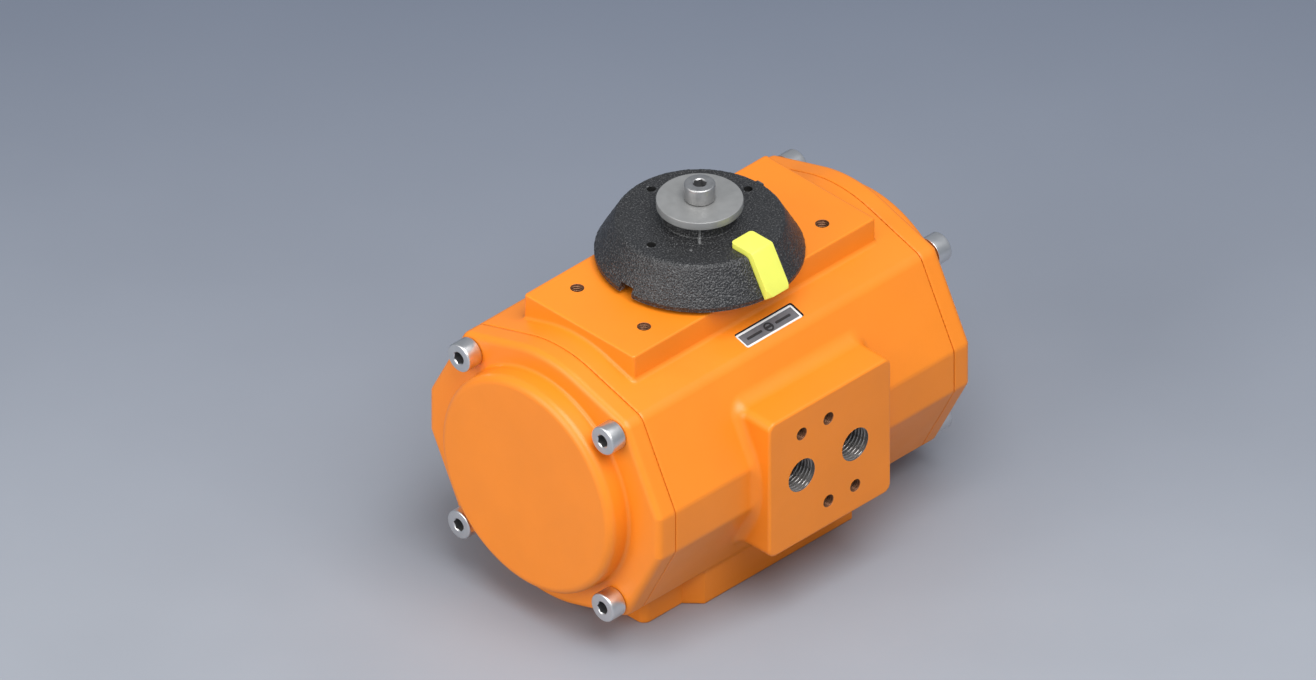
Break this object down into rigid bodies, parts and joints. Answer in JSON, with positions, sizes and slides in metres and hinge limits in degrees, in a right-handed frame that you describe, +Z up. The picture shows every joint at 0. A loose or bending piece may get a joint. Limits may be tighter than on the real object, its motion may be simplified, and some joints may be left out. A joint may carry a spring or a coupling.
{
  "type": "rotary pneumatic actuator",
  "caption": "Double-acting rack-and-pinion pneumatic actuator: a ported cylinder housing with domed end caps turns a vertical shaft with a pointer by a quarter turn.",
  "frame": {"origin": "where the shaft's axis meets the bottom face that bolts to the valve", "axes": "+Z up along the shaft, +X along the cylinder, -Y towards the air ports"},
  "size_m": [0.1572, 0.1096, 0.1298],
  "materials": {
    "orange_paint": "satin",
    "stainless_steel": "satin",
    "machined_steel": "satin",
    "cast_aluminium": "satin",
    "grey_disc": "satin",
    "black_plastic": "matte",
    "yellow_plastic": "satin",
    "nitrile_rubber": "matte",
    "white_acetal": "satin",
    "label_plate": "satin"
  },
  "bodies": {
    "housing": {"body": "orange_paint", "end_cap_left": "orange_paint", "end_cap_right": "orange_paint", "cap_screw_left_front_upper": "stainless_steel", "cap_screw_left_front_lower": "stainless_steel", "cap_screw_left_rear_upper": "stainless_steel", "cap_screw_left_rear_lower": "stainless_steel", "cap_screw_right_front_upper": "stainless_steel", "cap_screw_right_front_lower": "stainless_steel", "cap_screw_right_rear_upper": "stainless_steel", "cap_screw_right_rear_lower": "stainless_steel", "end_cap_seal_left": "nitrile_rubber", "end_cap_seal_right": "nitrile_rubber", "air_channel_seal_left": "nitrile_rubber", "air_channel_seal_right": "nitrile_rubber", "lower_shaft_bush": "white_acetal", "upper_shaft_bush": "white_acetal", "position_label": "label_plate"},
    "shaft": {"pinion_shaft": "machined_steel", "indicator_cap": "black_plastic", "pointer": "yellow_plastic", "retaining_disc": "grey_disc", "indicator_screw": "stainless_steel", "retaining_ring": "machined_steel", "steel_washer": "machined_steel", "thrust_washer": "white_acetal", "lower_shaft_seal": "nitrile_rubber", "upper_shaft_seal": "nitrile_rubber"},
    "piston_left": {"piston_left": "cast_aluminium", "piston_seal_left": "nitrile_rubber", "piston_guide_ring_left": "white_acetal", "rack_shoe_left": "white_acetal"},
    "piston_right": {"piston_right": "cast_aluminium", "piston_seal_right": "nitrile_rubber", "piston_guide_ring_right": "white_acetal", "rack_shoe_right": "white_acetal"}
  },
  "joints": [
    {"name": "shaft_turn", "type": "hinge", "parent": "housing", "child": "shaft", "pos_m": [0, 0, 0.051], "axis": [0, 0, 1], "range_deg": [0, 90]},
    {"name": "piston_left_slide", "type": "slide", "parent": "housing", "child": "piston_left", "axis": [-1, 0, 0], "range_m": [0, 0.02121]},
    {"name": "piston_right_slide", "type": "slide", "parent": "housing", "child": "piston_right", "axis": [1, 0, 0], "range_m": [0, 0.02121]}
  ],
  "couplings": [
    {"joint": "piston_left_slide", "follows": "shaft_turn", "m_per_rad": 0.0135},
    {"joint": "piston_right_slide", "follows": "shaft_turn", "m_per_rad": 0.0135}
  ]
}
